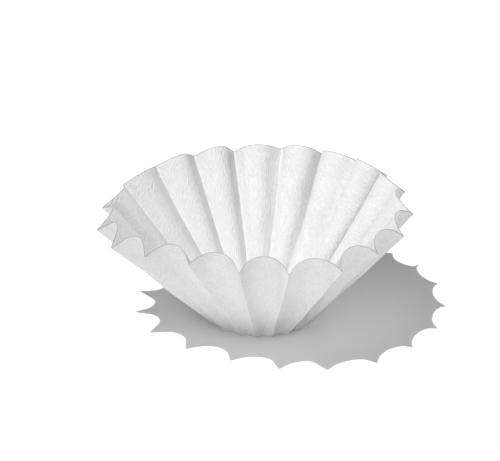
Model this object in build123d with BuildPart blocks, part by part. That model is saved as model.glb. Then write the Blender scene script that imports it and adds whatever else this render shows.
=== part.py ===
from build123d import *
from math import asin, cos, degrees, pi, radians, sin, sqrt, tan
import os

# Paper coffee filter: one circle of thin paper, pressed into a flat base and a fluted wall.
# Millimetres, +Z up. The origin is the middle of the base, on the surface that the filter stands on.
#
# Sharp outer creases run from the base's edge to the rim. They start evenly round the base, but the opened
# sheet doesn't lie quite evenly, so each crease has its own turn and slope.
# Between two creases is a flute with two flat sides and a crown that is rounded inward. The crown keeps one
# radius all the way up, so the flutes are shallow waves at the base's edge and grow deep towards the rim.
# The paper is equally wide between all creases, so a flute is deeper where its creases are closer together.
# The sheet was cut as a circle, so the rim is one slant length from the base's edge all round.
# The crowns stand steeper than the creases, so they end higher and further in, and the rim is scalloped.

# Driving dimensions
sheet_diameter = 185.0  # the flat circle before it is pressed
base_diameter = 47.5  # flat base, over the lower ends of the creases
crown_radius = 7.0  # outer radius of the rounded crowns
paper = 0.2  # thickness of the sheet
first_foot = 191.5  # degrees from +X to the lower end of the first crease, at the left
# Degrees by which each crease turns on from its lower end to its tip, from the first one round the front
crease_turns = (
    -4, -5, -5, -4, -2, -1.5, 0.5, 0.5, 1, 2, 3.5, 3.5, 0, 0, -1.5, -1.5, -3.5, -3.5, 0, -2,
)
# Degrees up from the table, along each crease
crease_slopes = (
    43, 44.5, 49, 52, 51.5, 50.5, 48.5, 50, 49.5, 50, 50.5, 48.5, 52, 46.5, 47.5, 44.5, 46, 47, 48.5, 44.5,
)

# Sizes that follow
flute_count = len(crease_slopes)
base_radius = base_diameter / 2
slant = (sheet_diameter - base_diameter) / 2  # from the base's edge to the rim, along the paper
rim_width = pi * sheet_diameter / flute_count  # the paper's width between two creases, at the rim
overrun = 2 * crown_radius  # what a flute's space reaches past the base and past the rim


def around(radius, turn, height):
    """The point at a radius, a turn in degrees from +X and a height."""
    return Vector(radius * cos(radians(turn)), radius * sin(radians(turn)), height)


# The lower end and the tip of each crease
feet = []
tips = []
for crease in range(flute_count):
    foot_turn = first_foot + 360 / flute_count * crease
    tip_turn = foot_turn + crease_turns[crease]
    slope = radians(crease_slopes[crease])
    feet.append(around(base_radius, foot_turn, 0))
    tips.append(around(base_radius + slant * cos(slope), tip_turn, slant * sin(slope)))


def side_lean(span):
    """The angle from a flute's middle to its sides at which the paper's width covers a span at the rim."""
    low, high = radians(15), radians(75)
    for _ in range(30):
        lean = (low + high) / 2
        width = span / sin(lean) - 2 * crown_radius / tan(lean) + crown_radius * (pi - 2 * lean)
        if width > rim_width:
            low = lean
        else:
            high = lean
    return lean


def flute_space(flute, inset):
    """The space outside one flute: a rounded V, larger all round by an inset, along the crown's axis.

    The crown's curve starts at the lower ends of the flute's two creases, and its sides reach their tips.
    """
    following = (flute + 1) % flute_count
    foot_width = (feet[following] - feet[flute]).length
    across = tips[following] - tips[flute]
    lean = side_lean(across.length)

    # How far the crown's axis stands off the lower ends, and how far the tips lie outside the crown
    to_axis = sqrt(crown_radius**2 - (foot_width / 2) ** 2)
    on_side = across.length / 2 - crown_radius * cos(lean)
    depth = to_axis - crown_radius * sin(lean) + on_side / tan(lean)

    # The crown is tilted inward from the way that the two creases run
    start = (feet[flute] + feet[following]) / 2
    run = (tips[flute] + tips[following]) / 2 - start
    tilt = asin(depth / run.length)
    upward = run.normalized()
    outward = across.cross(run).normalized()
    axis_start = start + (outward * cos(tilt) + upward * sin(tilt)) * to_axis
    flute_axis = Plane(axis_start, x_dir=across, z_dir=upward * cos(tilt) - outward * sin(tilt))

    radius = crown_radius + inset
    touch = (radius * cos(lean), radius * sin(lean))
    end = (touch[0] + sheet_diameter * sin(lean), touch[1] - sheet_diameter * cos(lean))
    with BuildPart() as space:
        with BuildSketch(flute_axis.offset(-overrun)):
            with BuildLine():
                CenterArc((0, 0), radius, degrees(lean), 180 - 2 * degrees(lean))
                Polyline(touch, end, (-end[0], end[1]), (-touch[0], touch[1]))
            make_face()
        extrude(amount=slant + 2 * overrun)
    return space.part


# The room inside the wall, above the base
with BuildPart() as room:
    with BuildSketch(Plane.XY.offset(paper)):
        Circle(sheet_diameter / 2)
    extrude(amount=slant)
    for flute in range(flute_count):
        add(flute_space(flute, paper), mode=Mode.SUBTRACT)

with BuildPart() as coffee_filter:
    # All that lies within a slant length of the base's edge
    with BuildSketch(Plane.XZ):
        with BuildLine():
            Polyline((base_radius, slant), (0, slant), (0, 0), (base_radius + slant, 0))
            CenterArc((base_radius, 0), slant, 0, 90)
        make_face()
    revolve(axis=Axis.Z)

    # Less the spaces outside the flutes and the room inside, which leaves the sheet
    for flute in range(flute_count):
        add(flute_space(flute, 0), mode=Mode.SUBTRACT)
    add(room.part, mode=Mode.SUBTRACT)

coffee_filter.part.label = "coffee_filter"

os.makedirs("parts", exist_ok=True)
export_step(coffee_filter.part, "parts/coffee_filter.step")
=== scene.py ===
"""A paper coffee filter that stands open on its flat base: the sheet, its paper and the stage."""
from math import cos, pi, radians, sin

import bpy
import numpy as np
from bpy.props import FloatProperty, FloatVectorProperty, PointerProperty
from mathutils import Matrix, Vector


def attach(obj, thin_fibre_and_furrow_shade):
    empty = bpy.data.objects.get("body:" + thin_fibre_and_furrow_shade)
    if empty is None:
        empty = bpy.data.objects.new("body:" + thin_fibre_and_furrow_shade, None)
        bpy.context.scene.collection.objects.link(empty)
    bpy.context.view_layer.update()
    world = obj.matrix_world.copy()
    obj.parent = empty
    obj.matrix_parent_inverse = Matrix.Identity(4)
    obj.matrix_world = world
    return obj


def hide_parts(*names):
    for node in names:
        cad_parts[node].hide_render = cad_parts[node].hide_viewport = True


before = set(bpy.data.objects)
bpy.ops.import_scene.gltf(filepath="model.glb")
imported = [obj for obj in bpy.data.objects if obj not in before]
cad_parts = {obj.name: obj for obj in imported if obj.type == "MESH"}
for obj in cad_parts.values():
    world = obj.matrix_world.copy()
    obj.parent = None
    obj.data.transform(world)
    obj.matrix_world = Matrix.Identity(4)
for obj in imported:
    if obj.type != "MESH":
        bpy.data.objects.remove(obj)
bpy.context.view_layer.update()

bl_info = {
    "name": "Paper coffee filter",
    "version": (1, 0, 0),
    "blender": (4, 5, 0),
    "location": "3D View > Sidebar > Filter",
    "description": "Presses a circle of creped paper into a fluted coffee filter and lights it",
    "category": "Object",
}

FLUTES = 20

# Waves by which the wall strays: times round it, radians up it, start and share
WAVES = ((3, 4, 0, 0.45), (7, -9, 1, 0.3), (11, 13, 2, 0.25))

# Faces that meet at more than this angle keep a sharp edge between them
SHARP_ANGLE = radians(35)

# A Mix node's sockets go by number, because those for colours and for plain values share their names
MIX_SHARE = 0
COLOUR_FROM = 6
COLOUR_TO = 7
COLOUR_OUT = 2
VALUE_FROM = 2
VALUE_TO = 3
VALUE_OUT = 0


def linear(colour):
    """An sRGB hex colour as linear red, green, blue and alpha."""
    parts = [int(colour[k : k + 2], 16) / 255 for k in (1, 3, 5)]
    return tuple(c / 12.92 if c <= 0.04045 else ((c + 0.055) / 1.055) ** 2.4 for c in parts) + (1.0,)


class PressedSheet(bpy.types.PropertyGroup):
    """The sheet's sizes and the lie of its creases."""

    sheet_diameter: FloatProperty(
        name="Sheet diameter",
        description="The flat circle before it is pressed",
        default=0.185,
        unit="LENGTH",
    )
    base_diameter: FloatProperty(
        name="Base diameter",
        description="The flat base, over the lower ends of the creases",
        default=0.0475,
        unit="LENGTH",
    )
    base_dip: FloatProperty(
        name="Base dip",
        description="How far the base's edge lies in from that circle at the foot of a crown",
        default=0.0018,
        unit="LENGTH",
    )
    thickness: FloatProperty(
        name="Paper thickness",
        description="Thickness of the sheet",
        default=0.0002,
        unit="LENGTH",
    )
    round_crown: FloatProperty(
        name="Round crown",
        description="The share of the roundest flute's width that its crown takes up, between flat sides",
        default=0.95,
        subtype="FACTOR",
    )
    sharp_crown: FloatProperty(
        name="Sharp crown",
        description="The same for the flute across from it, which is more like a fold",
        default=0.35,
        subtype="FACTOR",
    )
    sharp_bearing: FloatProperty(
        name="Sharp bearing",
        description="Degrees round the rim to the flute that is most like a fold",
        default=155.0,
    )
    crown_places: FloatVectorProperty(
        name="Crown places",
        description="The share of each flute's width at which its crown stands, from its first crease",
        size=FLUTES,
        default=(
            0.5, 0.5, 0.5, 0.5, 0.5, 0.5, 0.5, 0.5, 0.5, 0.5,
            0.5, 0.45, 0.52, 0.5, 0.5, 0.53, 0.55, 0.58, 0.6, 0.58,
        ),
    )
    unevenness: FloatProperty(
        name="Unevenness",
        description="How far the wall strays from straight folds, halfway up",
        default=0.0006,
        unit="LENGTH",
    )
    first_foot: FloatProperty(
        name="First foot",
        description="Degrees round the base to the lower end of the first crease",
        default=191.5,
    )
    first_crease: FloatProperty(
        name="First crease",
        description="Degrees round the rim to the place of the first crease, before its shift",
        default=189.0,
    )
    crease_shifts: FloatVectorProperty(
        name="Crease shifts",
        description="Degrees by which each crease tip stands off its even place round the rim",
        size=FLUTES,
        default=(
            -1.5, -2.5, -2.5, -1.5, 0.5, 1, 3, 3, 3.5, 4.5,
            6, 6, 2.5, 2.5, 1, 1, -1, -1, 2.5, 0.5,
        ),
    )
    crease_slopes: FloatVectorProperty(
        name="Crease slopes",
        description="Degrees up from the table, along each crease",
        size=FLUTES,
        default=(
            43, 44.5, 49, 52, 51.5, 50.5, 48.5, 50, 49.5, 50,
            50.5, 48.5, 52, 46.5, 47.5, 44.5, 46, 47, 48.5, 44.5,
        ),
    )


class CrepedPaper(bpy.types.PropertyGroup):
    """The look of the paper.

    The crepe is drawn a little coarser and deeper than real crepe, so that it shows in the render.
    """

    colour: FloatVectorProperty(
        name="Colour",
        description="Bleached fibre",
        size=4,
        subtype="COLOR",
        default=linear("#E6E6E5"),
    )
    # Painted shade: besides the clouds of thinner fibre, this colour darkens the crepe's valleys, as shade
    # in the furrows
    thin_and_furrow_shade_colour: FloatVectorProperty(
        name="Thin colour",
        description="Where the fibre lies thinner",
        size=4,
        subtype="COLOR",
        default=linear("#DEDEDC"),
    )
    # Painted highlight: the insides of the creases are drawn in this paler colour
    crease_highlight_colour: FloatVectorProperty(
        name="Fold colour",
        description="Along the creases, where the fibre is pressed smooth",
        size=4,
        subtype="COLOR",
        default=linear("#EDEDEC"),
    )
    # Painted shade: the thin grey line along the cut edge
    edge_shade_colour: FloatVectorProperty(
        name="Edge colour",
        description="The cut edge of the sheet",
        size=4,
        subtype="COLOR",
        default=linear("#B4B2AD"),
    )
    edge_width: FloatProperty(
        name="Edge width",
        description="Width of the line that the cut edge shows",
        default=0.00035,
        unit="LENGTH",
    )
    crepe_spacing: FloatProperty(
        name="Crepe spacing",
        description="From one crepe ridge to the next",
        default=0.001,
        unit="LENGTH",
    )
    crepe_run: FloatProperty(
        name="Crepe run",
        description="Length of a crepe ridge",
        default=0.0045,
        unit="LENGTH",
    )
    crepe_depth: FloatProperty(
        name="Crepe depth",
        description="Height of the crepe ridges",
        default=0.00048,
        unit="LENGTH",
    )
    crepe_turn: FloatProperty(
        name="Crepe turn",
        description="Degrees from the sheet's own Y axis to the way that the ridges run",
        default=10.0,
    )
    fibre_size: FloatProperty(
        name="Fibre size",
        description="Size of the tangles of fibre on the ridges",
        default=0.0012,
        unit="LENGTH",
    )
    fibre_share: FloatProperty(
        name="Fibre share",
        description="Height of the tangles as a share of the ridges' height",
        default=0.25,
        subtype="FACTOR",
    )
    cloud_size: FloatProperty(
        name="Cloud size",
        description="Size of the clouds in which the fibre lies thinner",
        default=0.004,
        unit="LENGTH",
    )
    cloud_share: FloatProperty(
        name="Cloud share",
        description="Weight of the clouds in the colour, where the ridges weigh 1",
        default=0.5,
        subtype="FACTOR",
    )
    thin_and_furrow_shade_level: FloatProperty(
        name="Thin level",
        description="Sum of ridges and clouds at which the paper has its thin colour",
        default=0.55,
    )
    full_level: FloatProperty(
        name="Full level",
        description="Sum of ridges and clouds at which the paper has its full colour",
        default=0.95,
    )


class Studio(bpy.types.PropertyGroup):
    """The floor, the light and the camera.

    One lamp casts the hard shadow, and four soft lights and a faint one from all round fill it.
    """

    floor_colour: FloatVectorProperty(
        name="Floor colour",
        description="Pale floor",
        size=4,
        subtype="COLOR",
        default=linear("#FBFBFB"),
    )
    sun_strength: FloatProperty(
        name="Sun strength",
        description="Light from the lamp",
        default=3.15,
    )
    sun_travel: FloatVectorProperty(
        name="Sun travel",
        description="The way that the light goes",
        subtype="XYZ",
        default=(0.326, 0.238, -1.0),
    )
    sun_angle: FloatProperty(
        name="Sun angle",
        description="Degrees across the lamp's disc, which softens the edge of the shadow",
        default=1.0,
    )
    side_glow: FloatProperty(
        name="Side glow",
        description="Soft light from low down at the right",
        default=2.9,
    )
    side_way: FloatVectorProperty(
        name="Side way",
        description="The way to the middle of that light",
        subtype="XYZ",
        default=(0.92, 0.37, 0.14),
    )
    front_glow: FloatProperty(
        name="Front glow",
        description="Soft light from above the camera",
        default=1.4,
    )
    front_way: FloatVectorProperty(
        name="Front way",
        description="The way to the middle of that light",
        subtype="XYZ",
        default=(0.07, -0.76, 0.64),
    )
    low_glow: FloatProperty(
        name="Low glow",
        description="Soft light from low down at the left of the camera",
        default=1.8,
    )
    low_way: FloatVectorProperty(
        name="Low way",
        description="The way to the middle of that light",
        subtype="XYZ",
        default=(-0.56, -0.82, 0.14),
    )
    back_glow: FloatProperty(
        name="Back glow",
        description="Soft light from low down behind the filter",
        default=0.95,
    )
    back_way: FloatVectorProperty(
        name="Back way",
        description="The way to the middle of that light",
        subtype="XYZ",
        default=(0.0, 0.99, 0.14),
    )
    glow_power: FloatProperty(
        name="Glow power",
        description="How quickly the soft lights fade round their middles",
        default=12.0,
    )
    sky_glow: FloatProperty(
        name="Sky glow",
        description="Faint light from all round",
        default=0.01,
    )
    lens: FloatProperty(
        name="Lens",
        description="Focal length in millimetres",
        default=211.2,
    )
    sensor: FloatProperty(
        name="Sensor",
        description="Width of the sensor in millimetres",
        default=36.0,
    )
    elevation: FloatProperty(
        name="Elevation",
        description="Degrees by which the camera looks down",
        default=26.0,
    )
    distance: FloatProperty(
        name="Distance",
        description="From the camera to the point that it looks at",
        default=1.318,
        unit="LENGTH",
    )
    aim: FloatVectorProperty(
        name="Aim",
        description="The point that the camera looks at",
        subtype="TRANSLATION",
        default=(-0.0051, 0.0, 0.042),
    )


def unit(vectors):
    """The vectors, each divided by its length."""
    return vectors / np.linalg.norm(vectors, axis=-1, keepdims=True)


def polar(radius, turn, height):
    """Points at a radius, a turn about the filter's axis and a height."""
    return np.stack(np.broadcast_arrays(radius * np.cos(turn), radius * np.sin(turn), height), axis=-1)


def arched_strips(shares, chords, length, crown, place, steepest=2.0, halvings=40):
    """Strips of one length, arched over their chords.

    A strip has the slope t on one flat side, bends evenly to -t round the place of its crown and keeps that
    slope on the other side. Halving an interval finds the t at which its ends are a chord apart, and the
    strip is then turned to lie over the chord. Returns the place along the chord and the height above it.
    """
    between = (shares[1:] + shares[:-1]) / 2
    fall = np.clip((place - between) * 2 / crown, -1, 1)
    low = np.zeros_like(chords)
    high = np.full_like(chords, steepest)
    for _ in range(halvings):
        middle = (low + high) / 2
        slope = middle[:, None] * fall
        run = np.cos(slope).mean(axis=1)
        climb = np.sin(slope).mean(axis=1)
        too_long = length * np.hypot(run, climb) > chords
        low = np.where(too_long, middle, low)
        high = np.where(too_long, high, middle)
    slope = slope - np.arctan2(climb, run)[:, None]
    step = length / len(between)
    along = np.pad(np.cumsum(np.cos(slope) * step, axis=1), ((0, 0), (1, 0)))
    above = np.pad(np.cumsum(np.sin(slope) * step, axis=1), ((0, 0), (1, 0)))
    return along, above


def pressed_surface(sheet, columns=32, base_rings=8, wall_rings=26, crowding=1.6):
    """The middle of the sheet's thickness as a grid of rings and columns, its flat coordinates and folds.

    The rim is twenty arched strips between the crease tips, as long as the flat sheet's edge. The share of
    a strip that its crown takes up goes from round to sharp with the cosine of the turn from the sharp
    bearing. A straight line runs from each point of the base's scalloped edge to the same point of the
    rim, and strays from that square to the wall by a few waves, which die out at both ends. The rings
    stand at even shares of that line, raised to the power of their crowding, so they are closest near the
    base. Inside the base's edge the sheet lies flat. The folds are 1 on the creases, else 0.
    """
    outer = sheet.sheet_diameter / 2
    foot = sheet.base_diameter / 2
    middle = sheet.thickness / 2
    step = 2 * pi / FLUTES
    shares = np.linspace(0, 1, columns + 1)

    slopes = np.radians(np.array(sheet.crease_slopes))
    bearings = np.radians(sheet.first_crease + np.array(sheet.crease_shifts)) + step * np.arange(FLUTES)
    slant = outer - foot
    tips = polar(foot + slant * np.cos(slopes), bearings, middle + slant * np.sin(slopes))
    feet_turn = radians(sheet.first_foot) + step * np.arange(FLUTES)
    feet = polar(foot, feet_turn, middle)

    spans = np.roll(tips, -1, axis=0) - tips
    chords = np.linalg.norm(spans, axis=1)
    sharpness = (1 + np.cos(bearings + step / 2 - radians(sheet.sharp_bearing))) / 2
    crown = sheet.round_crown + (sheet.sharp_crown - sheet.round_crown) * sharpness
    place = np.array(sheet.crown_places)
    along, above = arched_strips(shares, chords, outer * step, crown[:, None], place[:, None])
    creases = unit(tips - feet)
    inward = unit(np.cross(creases + np.roll(creases, -1, axis=0), spans))
    rim = tips[:, None] + unit(spans)[:, None] * along[..., None] + inward[:, None] * above[..., None]

    turn = feet_turn[:, None] + step * shares
    edge_radius = foot - sheet.base_dip * np.sin(pi * shares)
    edge = polar(edge_radius, turn, middle)

    keep = (FLUTES * columns, -1)
    turn = turn[:, :-1].reshape(-1)
    edge_radius = np.broadcast_to(edge_radius, (FLUTES, columns + 1))[:, :-1].reshape(-1)
    edge = edge[:, :-1].reshape(keep)
    rim = rim[:, :-1].reshape(keep)

    inner_radius = edge_radius * np.linspace(1 / base_rings, 1, base_rings)[:, None]
    rise = np.linspace(0, 1, wall_rings + 1)[1:, None] ** crowding
    base = polar(inner_radius, turn, middle)
    lean = slopes.mean()
    stray = sum(share * np.sin(times * turn + up * rise + start) for times, up, start, share in WAVES)
    stray = stray * np.sin(pi * rise) * sheet.unevenness
    wall = edge + (rim - edge) * rise[..., None]
    wall = wall + polar(-sin(lean), turn, cos(lean)) * stray[..., None]
    points = np.concatenate([base, wall])
    flat_radius = np.concatenate([inner_radius, edge_radius + (outer - edge_radius) * rise])
    flat = np.stack([flat_radius * np.cos(turn), flat_radius * np.sin(turn)], axis=-1)
    folds = np.zeros(points.shape[:2])
    folds[base_rings - 1 :, ::columns] = 1
    return points, flat, folds


def sheet_offsets(points, thickness):
    """Half the thickness square to the sheet at each point of the grid, mitred at the folds.

    The mean of the unit normals of the faces round a point, divided by its own squared length, reaches the
    corner of faces that have all moved by the same amount.
    """
    right = np.roll(points, -1, axis=1)
    faces = unit(np.cross(right[1:] - points[:-1], right[:-1] - points[1:]))
    below = np.concatenate([faces[:1], faces])
    above = np.concatenate([faces, faces[-1:]])
    mean = (below + np.roll(below, 1, axis=1) + above + np.roll(above, 1, axis=1)) / 4
    closed_fold = 0.2  # the least squared length, which keeps the mitre of a closed fold short
    square = np.maximum((mean**2).sum(axis=-1, keepdims=True), closed_fold)
    return mean / square * thickness / 2


def build_sheet_mesh(name, points, flat, folds, thickness, width):
    """A closed mesh of the sheet: an outer and an inner grid, each with a middle point, and the rim."""
    rings, columns = points.shape[:2]
    offsets = sheet_offsets(points, thickness)
    centre = np.array([[0, 0, 0], [0, 0, thickness]])
    outside = (points - offsets).reshape(-1, 3)
    inside = (points + offsets).reshape(-1, 3)
    vertices = np.concatenate([outside, inside, centre])
    flats = np.concatenate([flat.reshape(-1, 2), flat.reshape(-1, 2), np.zeros((2, 2))])

    grid = np.arange(rings * columns).reshape(rings, columns)
    beside = np.roll(grid, -1, axis=1)
    count = rings * columns
    quads = np.stack([grid[:-1], grid[1:], beside[1:], beside[:-1]], axis=-1).reshape(-1, 4)
    rim = np.stack([grid[-1] + count, grid[-1], beside[-1], beside[-1] + count], axis=-1)
    fan = np.stack([np.full(columns, 2 * count + 1), grid[0] + count, beside[0] + count], axis=-1)
    under = np.stack([np.full(columns, 2 * count), beside[0], grid[0]], axis=-1)
    faces = [
        *(quads + count).tolist(),
        *quads[:, ::-1].tolist(),
        *rim.tolist(),
        *fan.tolist(),
        *under.tolist(),
    ]

    mesh = bpy.data.meshes.new(name)
    mesh.from_pydata(vertices, [], faces)
    mesh.update()
    corners = np.empty(len(mesh.loops), dtype=np.int32)
    mesh.loops.foreach_get("vertex_index", corners)
    layer = mesh.uv_layers.new(name="flat_sheet")
    layer.uv.foreach_set("vector", (flats[corners] / width + 0.5).astype(np.float32).ravel())
    # Painted highlight: the creases are drawn pale, only on the inside, as light along them
    pale_creases = np.concatenate([np.zeros(count), folds.ravel(), np.zeros(2)])
    mesh.attributes.new("fold", "FLOAT", "POINT").data.foreach_set("value", pale_creases.astype(np.float32))
    mesh.shade_smooth()
    mesh.set_sharp_from_angle(angle=SHARP_ANGLE)
    return mesh


def add_node(tree, kind, values=None, links=None, **settings):
    """Add a node with its own settings, the values of its free inputs and the links to the others."""
    made = tree.nodes.new(kind)
    for setting, value in settings.items():
        setattr(made, setting, value)
    for socket, value in (values or {}).items():
        made.inputs[socket].default_value = value
    for socket, source in (links or {}).items():
        tree.links.new(source, made.inputs[socket])
    return made


def bleached_crepe_paper(paper, width):
    """Bleached filter paper, creped on its drying cylinder.

    To the eye it is a soft matt white with no gloss, covered in short fine ridges that all run one way of
    the flat sheet, and faintly clouded where the fibre lies thinner. The crepe's valleys are drawn darker,
    as painted shade in the furrows. The inside of a crease is drawn a little paler, as a painted highlight,
    and the cut edge is drawn as a thin grey line of painted shade.
    """
    material = bpy.data.materials.new("bleached_crepe_paper")
    material.use_nodes = True
    tree = material.node_tree
    tree.nodes.clear()
    sheet = add_node(tree, "ShaderNodeUVMap", uv_map="flat_sheet").outputs["UV"]
    ridge_size = (paper.crepe_spacing / 2 / width, paper.crepe_run / 2 / width, 1)
    ridge_place = add_node(
        tree,
        "ShaderNodeMapping",
        {"Scale": ridge_size, "Rotation": (0, 0, radians(paper.crepe_turn))},
        {"Vector": sheet},
        vector_type="TEXTURE",
    )
    ridges = add_node(
        tree,
        "ShaderNodeTexNoise",
        {"Scale": 1.0, "Detail": 1.0, "Roughness": 0.5, "Distortion": 0.2},
        {"Vector": ridge_place.outputs["Vector"]},
        noise_dimensions="2D",
    )
    fibre = add_node(
        tree,
        "ShaderNodeTexNoise",
        {"Scale": width / paper.fibre_size, "Detail": 2.0, "Roughness": 0.6},
        {"Vector": sheet},
        noise_dimensions="2D",
    )
    cloud = add_node(
        tree,
        "ShaderNodeTexNoise",
        {"Scale": width / paper.cloud_size, "Detail": 4.0, "Roughness": 0.65},
        {"Vector": sheet},
        noise_dimensions="2D",
    )
    height = add_node(
        tree,
        "ShaderNodeMath",
        {1: paper.fibre_share},
        {0: fibre.outputs["Fac"], 2: ridges.outputs["Fac"]},
        operation="MULTIPLY_ADD",
    )
    bump = add_node(
        tree,
        "ShaderNodeBump",
        {"Strength": 1.0, "Distance": paper.crepe_depth},
        {"Height": height.outputs[0]},
    )
    # Painted shade: the crepe's valleys are drawn darker, as shade in the furrows; the clouds are darker
    # where the fibre lies thinner
    thin_fibre_and_furrow_shade = add_node(
        tree,
        "ShaderNodeMath",
        {1: paper.cloud_share},
        {0: cloud.outputs["Fac"], 2: ridges.outputs["Fac"]},
        operation="MULTIPLY_ADD",
    )
    share = add_node(
        tree,
        "ShaderNodeMapRange",
        {"From Min": paper.thin_and_furrow_shade_level, "From Max": paper.full_level},
        {"Value": thin_fibre_and_furrow_shade.outputs[0]},
    )
    tone = add_node(
        tree,
        "ShaderNodeMix",
        {COLOUR_FROM: tuple(paper.thin_and_furrow_shade_colour), COLOUR_TO: tuple(paper.colour)},
        {MIX_SHARE: share.outputs["Result"]},
        data_type="RGBA",
    )
    # Painted highlight: paler along the insides of the creases
    fold = add_node(tree, "ShaderNodeAttribute", attribute_name="fold").outputs["Fac"]
    pale_creases = add_node(
        tree,
        "ShaderNodeMix",
        {COLOUR_TO: tuple(paper.crease_highlight_colour)},
        {MIX_SHARE: fold, COLOUR_FROM: tone.outputs[COLOUR_OUT]},
        data_type="RGBA",
    )
    # Painted shade: a grey line along the cut edge, drawn wider than the paper is thick, so that it shows
    middle = add_node(tree, "ShaderNodeVectorMath", {1: (0.5, 0.5, 0)}, {0: sheet}, operation="SUBTRACT")
    radius = add_node(tree, "ShaderNodeVectorMath", links={0: middle.outputs[0]}, operation="LENGTH")
    edge = add_node(
        tree,
        "ShaderNodeMath",
        {1: 0.5 - paper.edge_width / width},
        {0: radius.outputs["Value"]},
        operation="GREATER_THAN",
    )
    colour = add_node(
        tree,
        "ShaderNodeMix",
        {COLOUR_TO: tuple(paper.edge_shade_colour)},
        {MIX_SHARE: edge.outputs[0], COLOUR_FROM: pale_creases.outputs[COLOUR_OUT]},
        data_type="RGBA",
    )
    shader = add_node(
        tree,
        "ShaderNodeBsdfPrincipled",
        {
            "Roughness": 0.92,
            "IOR": 1.5,
            "Specular IOR Level": 0.25,
            "Subsurface Weight": 0.25,
            "Subsurface Radius": (1, 1, 1),
            "Subsurface Scale": 0.0001,
        },
        {"Base Color": colour.outputs[COLOUR_OUT], "Normal": bump.outputs["Normal"]},
    )
    add_node(tree, "ShaderNodeOutputMaterial", links={"Surface": shader.outputs["BSDF"]})
    return material


def pale_floor(colour):
    """Matt white board: it takes the filter's shadow and shows nothing of its own."""
    material = bpy.data.materials.new("matt_white_board")
    material.use_nodes = True
    tree = material.node_tree
    tree.nodes.clear()
    shader = add_node(tree, "ShaderNodeBsdfDiffuse", {"Color": tuple(colour)})
    add_node(tree, "ShaderNodeOutputMaterial", links={"Surface": shader.outputs["BSDF"]})
    return material


def add_floor(scene, colour):
    """A wide floor that takes the filter's shadow."""
    reach = 3.0
    below = -0.00005  # a hair under the base, so that the two faces don't lie in one plane
    square = ((-reach, -reach), (reach, -reach), (reach, reach), (-reach, reach))
    mesh = bpy.data.meshes.new("floor")
    mesh.from_pydata([(x, y, below) for x, y in square], [], [(0, 1, 2, 3)])
    mesh.materials.append(pale_floor(colour))
    floor = bpy.data.objects.new("floor", mesh)
    scene.collection.objects.link(floor)


def add_sun(scene, studio):
    """The lamp that casts the hard shadow."""
    lamp = bpy.data.lights.new("sun", "SUN")
    lamp.energy = studio.sun_strength
    lamp.angle = radians(studio.sun_angle)
    sun = bpy.data.objects.new("sun", lamp)
    sun.rotation_euler = Vector(studio.sun_travel).to_track_quat("-Z", "Y").to_euler()
    scene.collection.objects.link(sun)


def studio_world(studio):
    """Soft lights in a white surround.

    A soft light is the cosine of the angle from its middle, raised to a power, times its strength. All of
    them are added to a faint light from all round.
    """
    world = bpy.data.worlds.new("studio")
    world.use_nodes = True
    tree = world.node_tree
    tree.nodes.clear()
    way = add_node(tree, "ShaderNodeTexCoord").outputs["Generated"]
    glows = (
        (studio.side_glow, studio.side_way),
        (studio.front_glow, studio.front_way),
        (studio.low_glow, studio.low_way),
        (studio.back_glow, studio.back_way),
    )
    light = None
    for glow, centre in glows:
        facing = add_node(
            tree,
            "ShaderNodeVectorMath",
            {1: tuple(Vector(centre).normalized())},
            {0: way},
            operation="DOT_PRODUCT",
        )
        ahead = add_node(
            tree,
            "ShaderNodeMath",
            {1: 0.0},
            {0: facing.outputs["Value"]},
            operation="MAXIMUM",
        )
        fade = add_node(
            tree,
            "ShaderNodeMath",
            {1: studio.glow_power},
            {0: ahead.outputs[0]},
            operation="POWER",
        )
        links = {0: fade.outputs[0]}
        if light is not None:
            links[2] = light
        added = add_node(
            tree,
            "ShaderNodeMath",
            {1: glow, 2: studio.sky_glow},
            links,
            operation="MULTIPLY_ADD",
        )
        light = added.outputs[0]

    # The surround is plain white to the camera and in gloss, whatever light comes from it
    path = add_node(tree, "ShaderNodeLightPath").outputs
    seen = add_node(
        tree,
        "ShaderNodeMath",
        links={0: path["Is Camera Ray"], 1: path["Is Glossy Ray"]},
        operation="MAXIMUM",
    )
    seen = add_node(
        tree,
        "ShaderNodeMath",
        links={0: seen.outputs[0], 1: path["Is Transmission Ray"]},
        operation="MAXIMUM",
    )
    strength = add_node(
        tree,
        "ShaderNodeMix",
        {VALUE_TO: 1.0},
        {MIX_SHARE: seen.outputs[0], VALUE_FROM: light},
        data_type="FLOAT",
    )
    sky = add_node(
        tree,
        "ShaderNodeBackground",
        {"Color": (1, 1, 1, 1)},
        {"Strength": strength.outputs[VALUE_OUT]},
    )
    add_node(tree, "ShaderNodeOutputWorld", links={"Surface": sky.outputs[0]})
    return world


def add_camera(scene, studio):
    """The camera, in front of the filter and tilted down towards its aim."""
    tilt = radians(studio.elevation)
    back = Vector((0, -cos(tilt), sin(tilt)))
    camera = bpy.data.objects.new("camera", bpy.data.cameras.new("camera"))
    camera.data.lens = studio.lens
    camera.data.sensor_width = studio.sensor
    camera.location = Vector(studio.aim) + studio.distance * back
    camera.rotation_euler = (-back).to_track_quat("-Z", "Y").to_euler()
    scene.collection.objects.link(camera)
    scene.camera = camera


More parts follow.
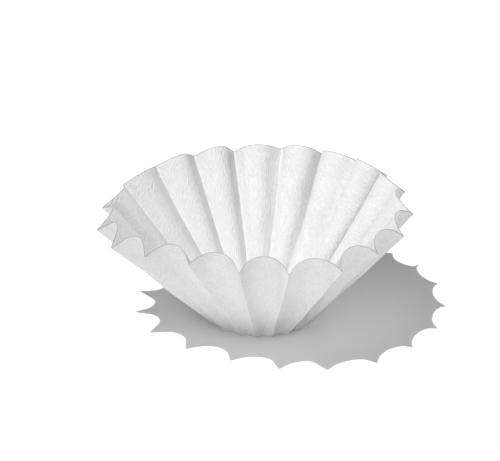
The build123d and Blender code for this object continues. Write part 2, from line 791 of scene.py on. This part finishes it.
class FILTER_OT_press_sheet(bpy.types.Operator):
    """Press the flat sheet into the fluted filter"""

    bl_idname = "coffee_filter.press_sheet"
    bl_label = "Press the sheet"

    def execute(self, context):
        sheet = context.scene.filter_sheet
        paper = context.scene.filter_paper
        width = sheet.sheet_diameter
        points, flat, folds = pressed_surface(sheet)
        mesh = build_sheet_mesh("filter_sheet", points, flat, folds, sheet.thickness, width)
        mesh.materials.append(bleached_crepe_paper(paper, width))
        piece = bpy.data.objects.new("filter_sheet", mesh)
        context.scene.collection.objects.link(piece)
        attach(piece, "root")
        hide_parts("coffee_filter")
        return {"FINISHED"}


class FILTER_OT_set_stage(bpy.types.Operator):
    """Lay the floor and set the light and the camera"""

    bl_idname = "coffee_filter.set_stage"
    bl_label = "Set the stage"

    def execute(self, context):
        scene = context.scene
        studio = scene.filter_studio
        add_floor(scene, studio.floor_colour)
        add_sun(scene, studio)
        add_camera(scene, studio)
        scene.world = studio_world(studio)
        scene.view_settings.view_transform = "Standard"
        return {"FINISHED"}


class FILTER_PT_sidebar(bpy.types.Panel):
    """The filter's settings and steps"""

    bl_idname = "FILTER_PT_sidebar"
    bl_label = "Paper coffee filter"
    bl_space_type = "VIEW_3D"
    bl_region_type = "UI"
    bl_category = "Filter"

    def draw(self, context):
        scene = context.scene
        for group in (scene.filter_sheet, scene.filter_paper, scene.filter_studio):
            box = self.layout.box()
            for name in group.__annotations__:
                box.prop(group, name)
        self.layout.operator(FILTER_OT_press_sheet.bl_idname)
        self.layout.operator(FILTER_OT_set_stage.bl_idname)


CLASSES = (
    PressedSheet,
    CrepedPaper,
    Studio,
    FILTER_OT_press_sheet,
    FILTER_OT_set_stage,
    FILTER_PT_sidebar,
)


def register():
    for kind in CLASSES:
        bpy.utils.register_class(kind)
    bpy.types.Scene.filter_sheet = PointerProperty(type=PressedSheet)
    bpy.types.Scene.filter_paper = PointerProperty(type=CrepedPaper)
    bpy.types.Scene.filter_studio = PointerProperty(type=Studio)


def unregister():
    del bpy.types.Scene.filter_studio
    del bpy.types.Scene.filter_paper
    del bpy.types.Scene.filter_sheet
    for kind in reversed(CLASSES):
        bpy.utils.unregister_class(kind)


def main():
    """Build the filter and its stage."""
    register()
    bpy.ops.coffee_filter.press_sheet()
    bpy.ops.coffee_filter.set_stage()
    bpy.context.view_layer.update()


if __name__ == "__main__":
    main()
